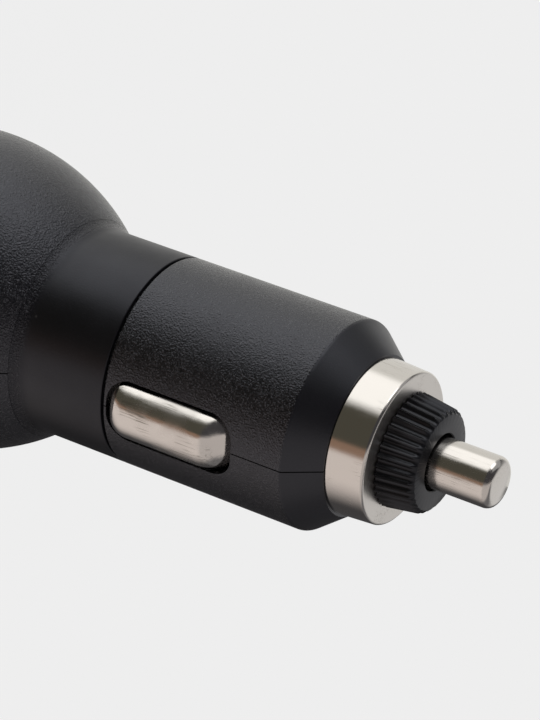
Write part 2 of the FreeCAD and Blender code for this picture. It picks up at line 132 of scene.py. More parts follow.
def applyModifiers(piece):
    graph = bpy.context.evaluated_depsgraph_get()
    mesh = bpy.data.meshes.new_from_object(piece.evaluated_get(graph))
    old = piece.data
    piece.modifiers.clear()
    piece.data = mesh
    mesh.name = piece.name
    bpy.data.meshes.remove(old)


def nodeTop(name):
    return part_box(name)[1][2] / mm


def nodeBase(name):
    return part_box(name)[0][2] / mm


# levels along the axis, in mm, read from the frame
level = {
    "sleeveTop": nodeTop("neck_sleeve"),
    "ringBase": nodeBase("nose_ring"),
    "ringTop": nodeTop("nose_ring"),
    "nutBase": nodeBase("nose_nut"),
    "nutTop": nodeTop("nose_nut"),
    "tipTop": nodeTop("tip_contact"),
    "stubTop": nodeTop("housing_half_front"),
}
barrelR = 10.4


# shader groups

def newGroup(name, inputs, outputs):
    group = bpy.data.node_groups.new(name, "ShaderNodeTree")
    for label, kind, value in inputs:
        socket = group.interface.new_socket(name=label, in_out="INPUT", socket_type=kind)
        if value is not None:
            socket.default_value = value
    for label, kind in outputs:
        group.interface.new_socket(name=label, in_out="OUTPUT", socket_type=kind)
    return group, group.nodes.new("NodeGroupInput"), group.nodes.new("NodeGroupOutput")


def addNode(tree, kind, **settings):
    node = tree.nodes.new(kind)
    for key, value in settings.items():
        setattr(node, key, value)
    return node


def mathNode(tree, operation, a, b=None, clamp=False):
    node = addNode(tree, "ShaderNodeMath", operation=operation, use_clamp=clamp)
    for socket, value in zip(node.inputs, (a, b)):
        if value is None:
            continue
        if isinstance(value, (int, float)):
            socket.default_value = value
        else:
            tree.links.new(value, socket)
    return node.outputs[0]


def rangeNode(tree, value, low, high, toLow=0.0, toHigh=1.0):
    node = addNode(tree, "ShaderNodeMapRange", interpolation_type="SMOOTHSTEP")
    tree.links.new(value, node.inputs["Value"])
    limits = {"From Min": low, "From Max": high, "To Min": toLow, "To Max": toHigh}
    for label, number in limits.items():
        node.inputs[label].default_value = number
    return node.outputs["Result"]


def noiseNode(tree, vector, scale, detail=2.0, rough=0.5):
    node = addNode(tree, "ShaderNodeTexNoise")
    tree.links.new(vector, node.inputs["Vector"])
    node.inputs["Scale"].default_value = scale
    node.inputs["Detail"].default_value = detail
    node.inputs["Roughness"].default_value = rough
    return node.outputs[0]


def mixColour(tree, mask, a, b):
    node = addNode(tree, "ShaderNodeMix", data_type="RGBA")
    tree.links.new(mask, node.inputs[0])
    for socket, value in ((node.inputs[6], a), (node.inputs[7], b)):
        if isinstance(value, tuple):
            socket.default_value = value + (1.0,)
        else:
            tree.links.new(value, socket)
    return node.outputs[2]


def heightOf(tree, vector):
    split = addNode(tree, "ShaderNodeSeparateXYZ")
    tree.links.new(vector, split.inputs[0])
    return split.outputs["Z"]


def makeGrainGroup():
    # spark-eroded mould grain: pits and peaks of about a fifth of a millimetre
    group, entry, leave = newGroup(
        "mouldGrain",
        [("Vector", "NodeSocketVector", None), ("Fineness", "NodeSocketFloat", 3000.0)],
        [("Height", "NodeSocketFloat"), ("Peaks", "NodeSocketFloat")])
    fine = addNode(group, "ShaderNodeTexNoise")
    group.links.new(entry.outputs["Vector"], fine.inputs["Vector"])
    group.links.new(entry.outputs["Fineness"], fine.inputs["Scale"])
    fine.inputs["Detail"].default_value = 1.5
    fine.inputs["Roughness"].default_value = 0.55
    group.links.new(fine.outputs[0], leave.inputs["Height"])
    group.links.new(rangeNode(group, fine.outputs[0], 0.55, 0.68), leave.inputs["Peaks"])
    return group


def makeHandlingGroup():
    # dust specks and faint smears from handling
    group, entry, leave = newGroup(
        "handlingMarks",
        [("Vector", "NodeSocketVector", None)],
        [("Specks", "NodeSocketFloat"), ("Smears", "NodeSocketFloat")])
    specks = addNode(group, "ShaderNodeTexVoronoi", feature="F1")
    group.links.new(entry.outputs["Vector"], specks.inputs["Vector"])
    specks.inputs["Scale"].default_value = 420.0
    near = rangeNode(group, specks.outputs["Distance"], 0.035, 0.07, 1.0, 0.0)
    few = rangeNode(group, noiseNode(group, entry.outputs["Vector"], 90.0), 0.56, 0.66)
    group.links.new(mathNode(group, "MULTIPLY", near, few), leave.inputs["Specks"])
    smear = noiseNode(group, entry.outputs["Vector"], 130.0, 4.0, 0.6)
    group.links.new(rangeNode(group, smear, 0.4, 0.7), leave.inputs["Smears"])
    return group


def makeScratchGroup():
    # hairline rub marks that run along the part
    group, entry, leave = newGroup(
        "rubMarks",
        [("Vector", "NodeSocketVector", None)],
        [("Marks", "NodeSocketFloat"), ("Height", "NodeSocketFloat")])
    stretch = addNode(group, "ShaderNodeMapping")
    group.links.new(entry.outputs["Vector"], stretch.inputs["Vector"])
    stretch.inputs["Scale"].default_value = (6000.0, 6000.0, 240.0)
    lines = noiseNode(group, stretch.outputs["Vector"], 1.0, 3.0, 0.6)
    patch = rangeNode(group, noiseNode(group, entry.outputs["Vector"], 260.0), 0.45, 0.65)
    marks = mathNode(group, "MULTIPLY", rangeNode(group, lines, 0.53, 0.63), patch)
    group.links.new(marks, leave.inputs["Marks"])
    group.links.new(lines, leave.inputs["Height"])
    return group


grainGroup = makeGrainGroup()
handlingGroup = makeHandlingGroup()
scratchGroup = makeScratchGroup()


def useGroup(tree, group, vector, **values):
    node = addNode(tree, "ShaderNodeGroup", node_tree=group)
    tree.links.new(vector, node.inputs["Vector"])
    for label, value in values.items():
        node.inputs[label].default_value = value
    return node


def startMaterial(name, **sockets):
    material = bpy.data.materials.new(name)
    material.use_nodes = True
    tree = material.node_tree
    shader = tree.nodes["Principled BSDF"]
    for label, value in sockets.items():
        shader.inputs[label.replace("_", " ")].default_value = value
    coords = addNode(tree, "ShaderNodeTexCoord").outputs["Object"]
    return material, tree, shader, coords


def addBump(tree, shader, height, strength, distance):
    bump = addNode(tree, "ShaderNodeBump")
    bump.inputs["Strength"].default_value = strength
    bump.inputs["Distance"].default_value = distance
    tree.links.new(height, bump.inputs["Height"])
    tree.links.new(bump.outputs["Normal"], shader.inputs["Normal"])


# materials

plastic = {
    # pale: a painted glint colour, not the plastic's own colour; the grain's peaks are painted
    # paler to stand for light sparkling on them
    "dark": (0.0065, 0.0062, 0.0078), "paintedGlint": (0.05, 0.05, 0.054), "dust": (0.2, 0.2, 0.19),
    "fineness": 6000.0, "grainDepth": 0.1, "grainRough": 0.2,
    "tint": (0.86, 0.89, 1.0, 1.0),  # the black plastic shines a little blue
}


def mouldedPlastic(name, shine, edgeZ, run, smoothRough):
    # grained up to edgeZ, smooth past it; the grain's peaks carry painted glints
    material, tree, shader, coords = startMaterial(name, Specular_IOR_Level=shine)
    shader.inputs["Specular Tint"].default_value = plastic["tint"]
    grain = useGroup(tree, grainGroup, coords, Fineness=plastic["fineness"])
    marks = useGroup(tree, handlingGroup, coords)
    grained = rangeNode(tree, heightOf(tree, coords), edgeZ * mm, (edgeZ + run) * mm, 1.0, 0.08)
    # painted glints: the grain's peaks are painted paler where light would sparkle on the grain
    paintedGlintMask = mathNode(tree, "MULTIPLY", grain.outputs["Peaks"], grained)
    base = mixColour(tree, paintedGlintMask, plastic["dark"], plastic["paintedGlint"])
    specks = mathNode(tree, "MULTIPLY", marks.outputs["Specks"], 0.5)
    tree.links.new(mixColour(tree, specks, base, plastic["dust"]), shader.inputs["Base Color"])
    finish = rangeNode(tree, grained, 0.0, 1.0, smoothRough, plastic["grainRough"])
    smears = mathNode(tree, "MULTIPLY", marks.outputs["Smears"], 0.08)
    tree.links.new(mathNode(tree, "ADD", finish, smears, True), shader.inputs["Roughness"])
    height = mathNode(tree, "MULTIPLY", grain.outputs["Height"], grained)
    addBump(tree, shader, height, 1.0, plastic["grainDepth"] * mm)
    return material


def smoothPlastic(name, base, roughLow, roughHigh, shine):
    material, tree, shader, coords = startMaterial(name, Specular_IOR_Level=shine)
    shader.inputs["Specular Tint"].default_value = plastic["tint"]
    marks = useGroup(tree, handlingGroup, coords)
    grain = useGroup(tree, grainGroup, coords, Fineness=1500.0)
    lifted = tuple(c * 1.5 for c in base)
    colour = mixColour(tree, marks.outputs["Smears"], base, lifted)
    specks = mathNode(tree, "MULTIPLY", marks.outputs["Specks"], 0.35)
    tree.links.new(mixColour(tree, specks, colour, plastic["dust"]), shader.inputs["Base Color"])
    rough = rangeNode(tree, marks.outputs["Smears"], 0.0, 1.0, roughLow, roughHigh)
    tree.links.new(rough, shader.inputs["Roughness"])
    addBump(tree, shader, grain.outputs["Height"], 0.08, 0.03 * mm)
    return material


def turnedFace(tree, coords):
    # the ring's front face is duller than the rest of the plating
    away = mathNode(tree, "SUBTRACT", heightOf(tree, coords), level["ringTop"] * mm)
    return rangeNode(tree, mathNode(tree, "ABSOLUTE", away), 0.03 * mm, 0.08 * mm, 0.32, 0.0)


def platedMetal(name, base, worn, roughLow, roughHigh, markDepth):
    material, tree, shader, coords = startMaterial(name, Metallic=1.0)
    marks = useGroup(tree, scratchGroup, coords)
    smears = useGroup(tree, handlingGroup, coords)
    tree.links.new(mixColour(tree, marks.outputs["Marks"], base, worn), shader.inputs["Base Color"])
    rough = rangeNode(tree, smears.outputs["Smears"], 0.0, 1.0, roughLow, roughHigh)
    rubbed = mathNode(tree, "MULTIPLY", marks.outputs["Marks"], 0.2)
    worked = mathNode(tree, "MAXIMUM", rough, turnedFace(tree, coords))
    tree.links.new(mathNode(tree, "ADD", worked, rubbed, True), shader.inputs["Roughness"])
    uneven = noiseNode(tree, coords, 1400.0, 1.0)
    waves = mathNode(tree, "MULTIPLY", uneven, 3.0)
    height = mathNode(tree, "ADD", marks.outputs["Height"], waves)
    addBump(tree, shader, height, markDepth, 0.02 * mm)
    return material


def speckledSolid(name, base, other, rough, fineness, **sockets):
    material, tree, shader, coords = startMaterial(name, **sockets)
    grain = useGroup(tree, grainGroup, coords, Fineness=fineness)
    colour = mixColour(tree, grain.outputs["Peaks"], base, other)
    tree.links.new(colour, shader.inputs["Base Color"])
    finish = rangeNode(tree, grain.outputs["Height"], 0.3, 0.7, rough * 0.85, rough * 1.15)
    tree.links.new(finish, shader.inputs["Roughness"])
    addBump(tree, shader, grain.outputs["Height"], 0.15, 0.03 * mm)
    return material


def clearGlass():
    material, tree, shader, coords = startMaterial("clearGlass", Transmission_Weight=1.0, IOR=1.5)
    smears = useGroup(tree, handlingGroup, coords)
    colour = mixColour(tree, smears.outputs["Smears"], (0.95, 0.97, 0.96), (0.9, 0.93, 0.92))
    tree.links.new(colour, shader.inputs["Base Color"])
    rough = rangeNode(tree, smears.outputs["Smears"], 0.0, 1.0, 0.02, 0.08)
    tree.links.new(rough, shader.inputs["Roughness"])
    return material


looks = {
    "grained_plastic": mouldedPlastic(
        "grainedPlastic", 0.76, level["ringBase"] - 3.3, 0.25, 0.36),
    "smooth_plastic": smoothPlastic("satinPlastic", (0.009, 0.0088, 0.0105), 0.34, 0.44, 0.5),
    "nut_plastic": smoothPlastic("nutPlastic", (0.005, 0.005, 0.0058), 0.32, 0.38, 0.46),
    "nickel": platedMetal("nickelPlate", (0.74, 0.71, 0.67), (0.6, 0.57, 0.53), 0.13, 0.2, 0.05),
    "spring_nickel": platedMetal(
        "rubbedNickel", (0.76, 0.73, 0.69), (0.42, 0.4, 0.36), 0.1, 0.34, 0.2),
    "spring_steel": platedMetal("springWire", (0.5, 0.5, 0.51), (0.35, 0.35, 0.36), 0.2, 0.32, 0.1),
    "brass": platedMetal("stampedBrass", (0.78, 0.58, 0.26), (0.6, 0.42, 0.18), 0.2, 0.35, 0.1),
    "copper": platedMetal("windingCopper", (0.72, 0.34, 0.18), (0.5, 0.22, 0.1), 0.25, 0.4, 0.3),
    "tin": platedMetal("tinnedWire", (0.7, 0.7, 0.7), (0.5, 0.5, 0.5), 0.2, 0.35, 0.1),
    "can_aluminium": platedMetal(
        "canAluminium", (0.72, 0.72, 0.72), (0.55, 0.55, 0.55), 0.25, 0.4, 0.15),
    "fuse_glass": clearGlass(),
    "board": speckledSolid("boardLacquer", (0.02, 0.13, 0.045), (0.03, 0.17, 0.06), 0.3, 700.0),
    "tongue_plastic": speckledSolid(
        "whiteMoulding", (0.7, 0.7, 0.67), (0.76, 0.76, 0.73), 0.45, 1500.0),
    "led_lens": speckledSolid(
        "redLens", (0.5, 0.02, 0.015), (0.6, 0.04, 0.03), 0.12, 500.0, Coat_Weight=0.5),
    "ferrite": speckledSolid("ferrite", (0.04, 0.04, 0.043), (0.08, 0.08, 0.085), 0.6, 2500.0),
    "package_plastic": speckledSolid(
        "packageEpoxy", (0.02, 0.02, 0.021), (0.04, 0.04, 0.042), 0.55, 3000.0),
    "chip_ceramic": speckledSolid(
        "chipCeramic", (0.42, 0.31, 0.19), (0.5, 0.38, 0.25), 0.5, 2500.0),
}
print("materials made:", len(looks))


def dressNodes():
    # every CAD node that stays gets the finish of its slot
    for row in frame["record"]["subparts"]:
        node = frame["nodes"][row["node"]]
        node.data.materials.clear()
        node.data.materials.append(looks[row["material_slot"]])
        shadeByAngle(node.data, 30)


# housing: two moulded halves

housing = {
    "headR": 15.93, "headArcR": 23.17, "faceR": 13.66, "rimRound": 0.72, "rimReach": 0.25,
    "wall": 2.0, "hollowR": 12.4, "plateR": 12.25, "plateDepth": 1.8,
    "ledgeR": 11.3, "ledgeTop": 3.0,
    "sleeveDeep": 0.45, "lipReach": 0.8, "lipT": 0.15, "lipSpare": 0.05, "lipGap": 0.03,
    "seamGap": 0.3, "seamEdge": 0.08,
    "shoulderLen": 3.12, "shoulderEndR": 7.95, "shoulderRound": 0.55,
    "stubR": 4.05, "boreR": 3.45, "bulkheadBack": 6.12, "partingGap": 0.12,
    "slotFromSeam": 0.45, "slotLen": 13.9, "slotW": 6.4, "slotCorner": 2.5,
    "slotInR": 6.0, "slotOutR": 14.0,
}


def headArc(inset, startR, endR, count):
    # points on the head's arc, between two radii on either side of its widest place
    h = housing
    arcR = h["headArcR"] - inset
    centreR, centreZ = headCentre()
    low = -math.degrees(math.acos((startR - centreR) / arcR))
    high = math.degrees(math.acos((endR - centreR) / arcR))
    return arcPoints(centreR, centreZ, arcR, low, high, count)


def headCentre():
    h = housing
    centreR = h["headR"] - h["headArcR"]
    return centreR, math.sqrt(h["headArcR"] ** 2 - (h["faceR"] - centreR) ** 2)


def lipPlace(below):
    # radius, height and slope on the head, this far below the corner between head and neck
    h = housing
    centreR, centreZ = headCentre()
    neck = centreZ + math.sqrt(h["headArcR"] ** 2 - (barrelR - centreR) ** 2)
    z = neck - h["lipReach"] - below
    turn = math.asin((z - centreZ) / h["headArcR"])
    return centreR + h["headArcR"] * math.cos(turn), z, turn


def underLip(below, depth, wallR):
    # square down from the head's face, then along under the sleeve's lip to a wall
    r, z, turn = lipPlace(below)
    lowR = r - depth * math.cos(turn)
    lowZ = z - depth * math.sin(turn)
    return [(lowR, lowZ), (wallR, lowZ + (lowR - wallR) / math.tan(turn))]


def seamLevel():
    return level["sleeveTop"] + housing["seamGap"] / 2


def housingProfile():
    h = housing
    seamTop = seamLevel() + h["seamGap"] / 2
    recessR = barrelR - h["sleeveDeep"]
    barrelEnd = level["ringBase"] - h["shoulderLen"]
    slope = math.degrees(math.atan2(barrelR - h["shoulderEndR"], h["shoulderLen"]))
    shoulder = h["shoulderRound"]
    reach = shoulder * math.tan(math.radians(slope / 2))
    inner = barrelR - h["wall"]
    bulkheadZ = level["ringBase"] - h["bulkheadBack"]
    rim = h["rimRound"]
    edge = h["seamEdge"]
    points = [(h["plateR"], 0)]
    points += arcPoints(h["faceR"] - rim, rim, rim, -90, -20, 6)
    points += headArc(0, h["faceR"] + h["rimReach"], lipPlace(h["lipGap"])[0], 40)
    points += underLip(h["lipGap"], h["lipT"] + h["lipSpare"], recessR)
    points += [(recessR, seamTop), (barrelR - edge, seamTop), (barrelR, seamTop + edge)]
    points += arcPoints(barrelR - shoulder, barrelEnd - reach, shoulder, 0, slope, 6)
    points += [(h["shoulderEndR"], level["ringBase"]), (h["stubR"], level["ringBase"])]
    points += [(h["stubR"], level["stubTop"]), (h["boreR"], level["stubTop"])]
    points += [(h["boreR"], bulkheadZ), (inner, bulkheadZ)]
    hollow = headArc(h["wall"], h["hollowR"], inner, 16)
    points += list(reversed([p for p in hollow if p[1] > h["ledgeTop"]]))
    points += [(h["hollowR"], h["ledgeTop"]), (h["ledgeR"], h["ledgeTop"])]
    points += [(h["ledgeR"], h["plateDepth"]), (h["plateR"], h["plateDepth"])]
    return points


def slotCutter():
    h = housing
    half = h["slotW"] / 2
    low = seamLevel() + h["slotFromSeam"]
    bm = bmesh.new()
    boxInto(bm, (h["slotInR"], -half, low), (h["slotOutR"], half, low + h["slotLen"]))
    along = [e for e in bm.edges if abs((e.verts[0].co - e.verts[1].co).x) > 1 * mm]
    bmesh.ops.bevel(bm, geom=along, offset=h["slotCorner"] * mm, affect="EDGES",
                    segments=12, profile=0.5, material=-1)
    ends = bmesh.ops.duplicate(bm, geom=bm.verts[:] + bm.edges[:] + bm.faces[:])["geom"]
    turned = [g for g in ends if isinstance(g, bmesh.types.BMVert)]
    bmesh.ops.rotate(bm, verts=turned, cent=(0, 0, 0), matrix=Matrix.Rotation(math.pi, 3, "Z"))
    bmesh.ops.recalc_face_normals(bm, faces=bm.faces)
    return objectFrom("slotCutter", bm)


def makeHousing(side, name, node, cutter):
    # side -1 keeps the half toward -Y
    bm = spun(housingProfile())
    bmesh.ops.recalc_face_normals(bm, faces=bm.faces)
    edge = side * housing["partingGap"] / 2 * mm
    bmesh.ops.bisect_plane(bm, geom=bm.verts[:] + bm.edges[:] + bm.faces[:], dist=0.0001 * mm,
                           plane_co=(0, edge, 0), plane_no=(0, -side, 0), clear_outer=True)
    rim = [e for e in bm.edges if e.is_boundary]
    bmesh.ops.edgeloop_fill(bm, edges=rim)
    bmesh.ops.recalc_face_normals(bm, faces=bm.faces)
    piece = objectFrom(name, bm)
    cut = piece.modifiers.new("slots", "BOOLEAN")
    cut.object = cutter
    cut.operation = "DIFFERENCE"
    cut.solver = "EXACT"
    applyModifiers(piece)
    dressPiece(piece, "body", [node], looks["grained_plastic"], 28)


def makeHousings():
    cutter = slotCutter()
    makeHousing(-1, "housingFront", "housing_half_front", cutter)
    makeHousing(1, "housingBack", "housing_half_back", cutter)
    bpy.data.objects.remove(cutter)
    print("housing halves made")


# smooth band round the neck

sleeve = {
    "edge": 0.12, "thick": 0.4,
    "grainUp": 0.5, "grainFade": 0.9, "shine": 0.55, "rough": 0.36,
}


def makeSleeve():
    s = sleeve
    top = level["sleeveTop"]
    inner = barrelR - s["thick"]
    lipR, lipZ, turn = lipPlace(0.0)
    flareR = (lipR - barrelR) / (1 - math.cos(turn))
    flareZ = lipZ + flareR * math.sin(turn)
    points = list(reversed(underLip(0.0, housing["lipT"], inner)))
    points += arcPoints(barrelR + flareR, flareZ, flareR, 180 + math.degrees(turn), 180, 10)
    points += arcPoints(barrelR - s["edge"], top - s["edge"], s["edge"], 0, 90, 4)
    points += [(inner, top)]
    # the head's grain runs a little way onto the flare
    grainEnd = lipZ + s["grainUp"]
    look = mouldedPlastic("sleevePlastic", s["shine"], grainEnd, s["grainFade"], s["rough"])
    addPiece("neckSleeve", spun(points), "body", ["neck_sleeve"], look)
    print("neck sleeve made")


# nose: ring, nut, tip

nose = {
    "ringBackR": 7.7, "ringFrontR": 7.5, "ringRound": 0.34, "ringEdge": 0.06, "ringBoreR": 4.1,
    "nutBackR": 5.6, "nutFrontR": 5.08, "nutChamfer": 0.45,
    "nutBoreR": 4.35, "nutHoleR": 2.82, "nutWall": 1.2, "holeEdge": 0.08,
    "ribs": 36, "ribDepth": 0.3, "ribRun": 10, "crestPower": 2.0,
    "tipR": 2.52, "tipRound": 0.95, "tipCrown": 0.15, "flangeR": 3.15, "flangeT": 1.0,
}


def makeRing():
    n = nose
    top = level["ringTop"]
    base = level["ringBase"]
    edge = n["ringEdge"]
    front = n["ringRound"]
    points = [(n["ringBoreR"], base), (n["ringBackR"] - edge, base), (n["ringBackR"], base + edge)]
    points += arcPoints(n["ringFrontR"] - front, top - front, front, 0, 90, 8)
    points += [(n["ringBoreR"], top)]
    addPiece("noseRing", spun(points), "body", ["nose_ring"], looks["nickel"])
    print("nose ring made")


def ribWave(angle):
    # 1 on a rib's crest, 0 in the groove, crests narrower than grooves
    wave = 0.5 + 0.5 * math.cos(angle * nose["ribs"])
    return wave ** nose["crestPower"]


def ribRing(bm, edges, crestR, depth, z):
    # pull a ring of the nut up to height z and give it ribs of this depth
    made = bmesh.ops.extrude_edge_only(bm, edges=edges)["geom"]
    verts = [g for g in made if isinstance(g, bmesh.types.BMVert)]
    for v in verts:
        angle = math.atan2(v.co.y, v.co.x)
        r = crestR - depth * (1 - ribWave(angle))
        v.co = (r * mm * math.cos(angle), r * mm * math.sin(angle), z * mm)
    pulled = [g for g in made if isinstance(g, bmesh.types.BMEdge)]
    return [e for e in pulled if e.verts[0] in verts and e.verts[1] in verts]


def makeNut():
    n = nose
    bm = bmesh.new()
    base = level["nutBase"]
    top = level["nutTop"]
    count = n["ribs"] * n["ribRun"]
    start = bmesh.ops.create_circle(bm, segments=count, radius=n["nutBoreR"] * mm)["verts"]
    bmesh.ops.translate(bm, verts=start, vec=(0, 0, (top - n["nutWall"]) * mm))
    edges = bm.edges[:]
    deep = n["ribDepth"]
    wallZ = top - n["nutWall"]
    chamferZ = top - n["nutChamfer"]
    taper = (n["nutBackR"] - n["nutFrontR"]) / (top - base)
    crestAt = n["nutFrontR"] + taper * n["nutChamfer"]
    faceR = n["nutFrontR"] - n["nutChamfer"]
    hole = n["holeEdge"]
    # crest radius, rib depth and height, from the bore round the outside to the hole
    rows = [
        (n["nutBoreR"], 0, base),
        (n["nutBackR"] - 0.04, deep, base),
        (n["nutBackR"], deep, base + 0.05),
        (crestAt, deep, chamferZ - 0.1),
        (crestAt - 0.05, deep * 0.9, chamferZ + 0.05),
        (faceR + 0.12, 0.05, top - 0.06),
        (faceR, 0, top),
        (n["nutHoleR"] + hole, 0, top),
        (n["nutHoleR"], 0, top - hole),
        (n["nutHoleR"], 0, wallZ),
        (n["nutBoreR"], 0, wallZ),
    ]
    for crestR, depth, z in rows:
        edges = ribRing(bm, edges, crestR, depth, z)
    addPiece("noseNut", bm, "nut", ["nose_nut"], looks["nut_plastic"], 40)
    print("nose nut made")


def makeTip():
    n = nose
    top = level["tipTop"]
    base = nodeBase("tip_contact")
    neck = base + n["flangeT"]
    edgeR = n["tipR"] - n["tipRound"]
    edgeZ = top - n["tipCrown"]
    crownR = (edgeR ** 2 + n["tipCrown"] ** 2) / (2 * n["tipCrown"])
    crownDeg = math.degrees(math.asin(edgeR / crownR))
    points = [(0, base), (n["flangeR"], base), (n["flangeR"], neck), (n["tipR"], neck)]
    points += arcPoints(edgeR, edgeZ - n["tipRound"], n["tipRound"], 0, 90 - crownDeg, 10)
    points += arcPoints(0, top - crownR, crownR, 90 - crownDeg, 90, 6)
    addPiece("tipPin", spun(points, False), "tip", ["tip_contact"], looks["nickel"])
    print("tip made")


# side contacts: formed spring strips

contact = {
    "padW": 5.8, "rise": 1.35, "flatShare": 0.2, "crownR": 5.5, "rollDeg": 80.0, "corner": 2.2,
    "thick": 0.5, "rimRound": 0.08, "rimDeg": 50.0,
    "bendSpare": 0.3, "rampDeg": 48.0, "sink": 0.95, "endDeg": 70.0, "gap": 0.35,
    "legW": 2.2, "legIn": 1.35, "tabLen": 1.5, "jogUp": 0.3, "jogShort": 0.2,
    "tailIn": 0.46, "hookBack": 0.2, "hookShort": 0.15,
    "across": 28, "along": 72,
}
contact["flatHalf"] = contact["flatShare"] * contact["padW"] / 2
contact["crownTurn"] = math.asin(contact["flatHalf"] / contact["crownR"])
contact["rollR"] = ((contact["padW"] / 2 - contact["flatHalf"])
                    / (math.sin(math.radians(contact["rollDeg"])) - math.sin(contact["crownTurn"])))


def padOutline(z, base, top):
    # half width of the strip at this height
    c = contact
    edge = min(z - base, top - z)
    if edge >= c["corner"]:
        return c["padW"] / 2
    short = c["corner"] - max(edge, 0)
    return c["padW"] / 2 - c["corner"] + math.sqrt(max(c["corner"] ** 2 - short ** 2, 0))


def archDrop(y):
    # the strip is arched: nearly flat in the middle, rolled over at both edges
    c = contact
    y = abs(y)
    near = min(y, c["flatHalf"])
    drop = c["crownR"] - math.sqrt(c["crownR"] ** 2 - near ** 2)
    if y > near:
        start = math.sin(c["crownTurn"])
        turned = start + (y - near) / c["rollR"]
        drop += c["rollR"] * (math.sqrt(1 - start ** 2) - math.sqrt(1 - turned ** 2))
    return drop


def bendRadius():
    return archDrop(contact["padW"] / 2) + contact["bendSpare"]


def bendDrop(past, degrees):
    # drop of the strip this far past the start of a bend, straight on after the bend
    a = math.radians(degrees)
    radius = bendRadius()
    turned = radius * math.sin(a)
    if past <= 0:
        return 0.0
    if past < turned:
        return radius - math.sqrt(radius ** 2 - past ** 2)
    return radius * (1 - math.cos(a)) + (past - turned) * math.tan(a)


def rampReach():
    # length along the part of the nose end's bend and ramp
    a = math.radians(contact["rampDeg"])
    radius = bendRadius()
    straight = contact["rise"] + contact["sink"] - radius * (1 - math.cos(a))
    return radius * math.sin(a) + straight / math.tan(a)


def padSheet(base, top):
    c = contact
    crest = barrelR + c["rise"]
    rampZ = top - rampReach()
    endZ = base + bendRadius() * math.sin(math.radians(c["endDeg"]))
    bm = bmesh.new()
    bmesh.ops.create_grid(bm, x_segments=c["across"], y_segments=c["along"], size=1.0)
    for v in bm.verts:
        run = 0.5 - 0.5 * math.cos(math.pi * (v.co.y + 1) / 2)  # rows closer together at both ends
        z = base + 0.01 + (top - 0.02 - base) * run
        y = math.sin(v.co.x * math.pi / 2) * padOutline(z, base, top)
        drop = bendDrop(z - rampZ, c["rampDeg"]) + bendDrop(endZ - z, c["endDeg"])
        v.co = ((crest - drop - archDrop(y)) * mm, y * mm, z * mm)
    bmesh.ops.recalc_face_normals(bm, faces=bm.faces)
    if bm.faces[:][0].normal.x < 0:
        bmesh.ops.reverse_faces(bm, faces=bm.faces)
    return bm


def makeContact(name, node, body, turn):
    c = contact
    nodeLow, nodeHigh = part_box(node)
    slotBase = seamLevel() + housing["slotFromSeam"]
    base = slotBase + c["gap"]
    top = slotBase + housing["slotLen"] - c["gap"]
    bm = padSheet(base, top)
    bmesh.ops.solidify(bm, geom=bm.faces[:], thickness=c["thick"] * mm)
    sharp = math.radians(c["rimDeg"])
    rims = [e for e in bm.edges if len(e.link_faces) == 2 and e.calc_face_angle(0) > sharp]
    bmesh.ops.bevel(bm, geom=rims, offset=c["rimRound"] * mm, affect="EDGES",
                    segments=2, profile=0.5, material=-1)
    half = c["legW"] / 2
    bore = barrelR - housing["wall"]
    legX = bore - c["legIn"]
    tailX = bore - c["tailIn"]
    rootZ = nodeLow[2] / mm
    jogZ = base + c["jogUp"]
    hookZ = top - c["hookBack"] - c["thick"]
    bendReach = bendRadius() * math.sin(math.radians(c["endDeg"]))
    jogX = barrelR + c["rise"] - bendDrop(bendReach - c["jogUp"], c["endDeg"])
    hookX = barrelR - c["sink"] - c["hookShort"]
    jogTop = jogZ + c["thick"]
    legOut = legX + c["thick"]
    tailBack = tailX - c["thick"]
    boxInto(bm, (legX, -half, jogZ), (jogX - c["jogShort"], half, jogTop))
    boxInto(bm, (legX, -half, rootZ), (legOut, half, jogTop))
    boxInto(bm, (legX - c["tabLen"], -half, rootZ), (legOut, half, rootZ + c["thick"]))
    boxInto(bm, (tailBack, -half, hookZ), (hookX, half, hookZ + c["thick"]))
    boxInto(bm, (tailBack, -half, hookZ), (tailX, half, nodeHigh[2] / mm))
    bmesh.ops.rotate(bm, verts=bm.verts, cent=(0, 0, 0), matrix=Matrix.Rotation(turn, 3, "Z"))
    addPiece(name, bm, body, [node], looks["spring_nickel"], 40)


def makeContacts():
    makeContact("sideContactRight", "side_contact_right", "contact_right", 0.0)
    makeContact("sideContactLeft", "side_contact_left", "contact_left", math.pi)
    print("side contacts made")


# spring behind the fuse

coil = {"wire": 0.5, "meanR": 2.2, "turns": 6.5, "steps": 32, "pressed": 5.0 / 9.0}


def makeCoil():
    c = coil
    low = nodeBase("tip_spring")
    high = nodeTop("tip_spring")
    bm = bmesh.new()
    place = Matrix.Translation((c["meanR"] * mm, 0, (low + c["wire"] / 2) * mm))
    upright = Matrix.Rotation(math.pi / 2, 4, "X")
    ring = bmesh.ops.create_circle(bm, segments=10, radius=c["wire"] / 2 * mm, cap_ends=True,
                                   matrix=place @ upright)["verts"]
    rise = (high - low - c["wire"]) * mm
    count = int(c["turns"] * c["steps"])
    bmesh.ops.spin(bm, geom=ring + bm.edges[:] + bm.faces[:], cent=(0, 0, 0), axis=(0, 0, 1),
                   dvec=(0, 0, rise / count), angle=2 * math.pi * c["turns"],
                   steps=count, use_merge=False, use_duplicate=False)
    look = looks["spring_steel"]
    piece = addPiece("tipCoil", bm, "body", ["tip_spring"], look, 40)
    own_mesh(piece)
    print("coil made")


# stage

view = {
    "azimuth": 55.6, "elevation": 23.65, "roll": -20.23, "distance": 300.0,
    "aimPixel": (403.8, 449.3), "pixelsPerMm": 10.822, "frame": (540, 720), "sensor": 36.0,
}
stage = {
    "paper": 0.898, "floorSize": 3.0,
    "seenShare": 0.93,  # the rest of what the camera sees takes the shadow
}


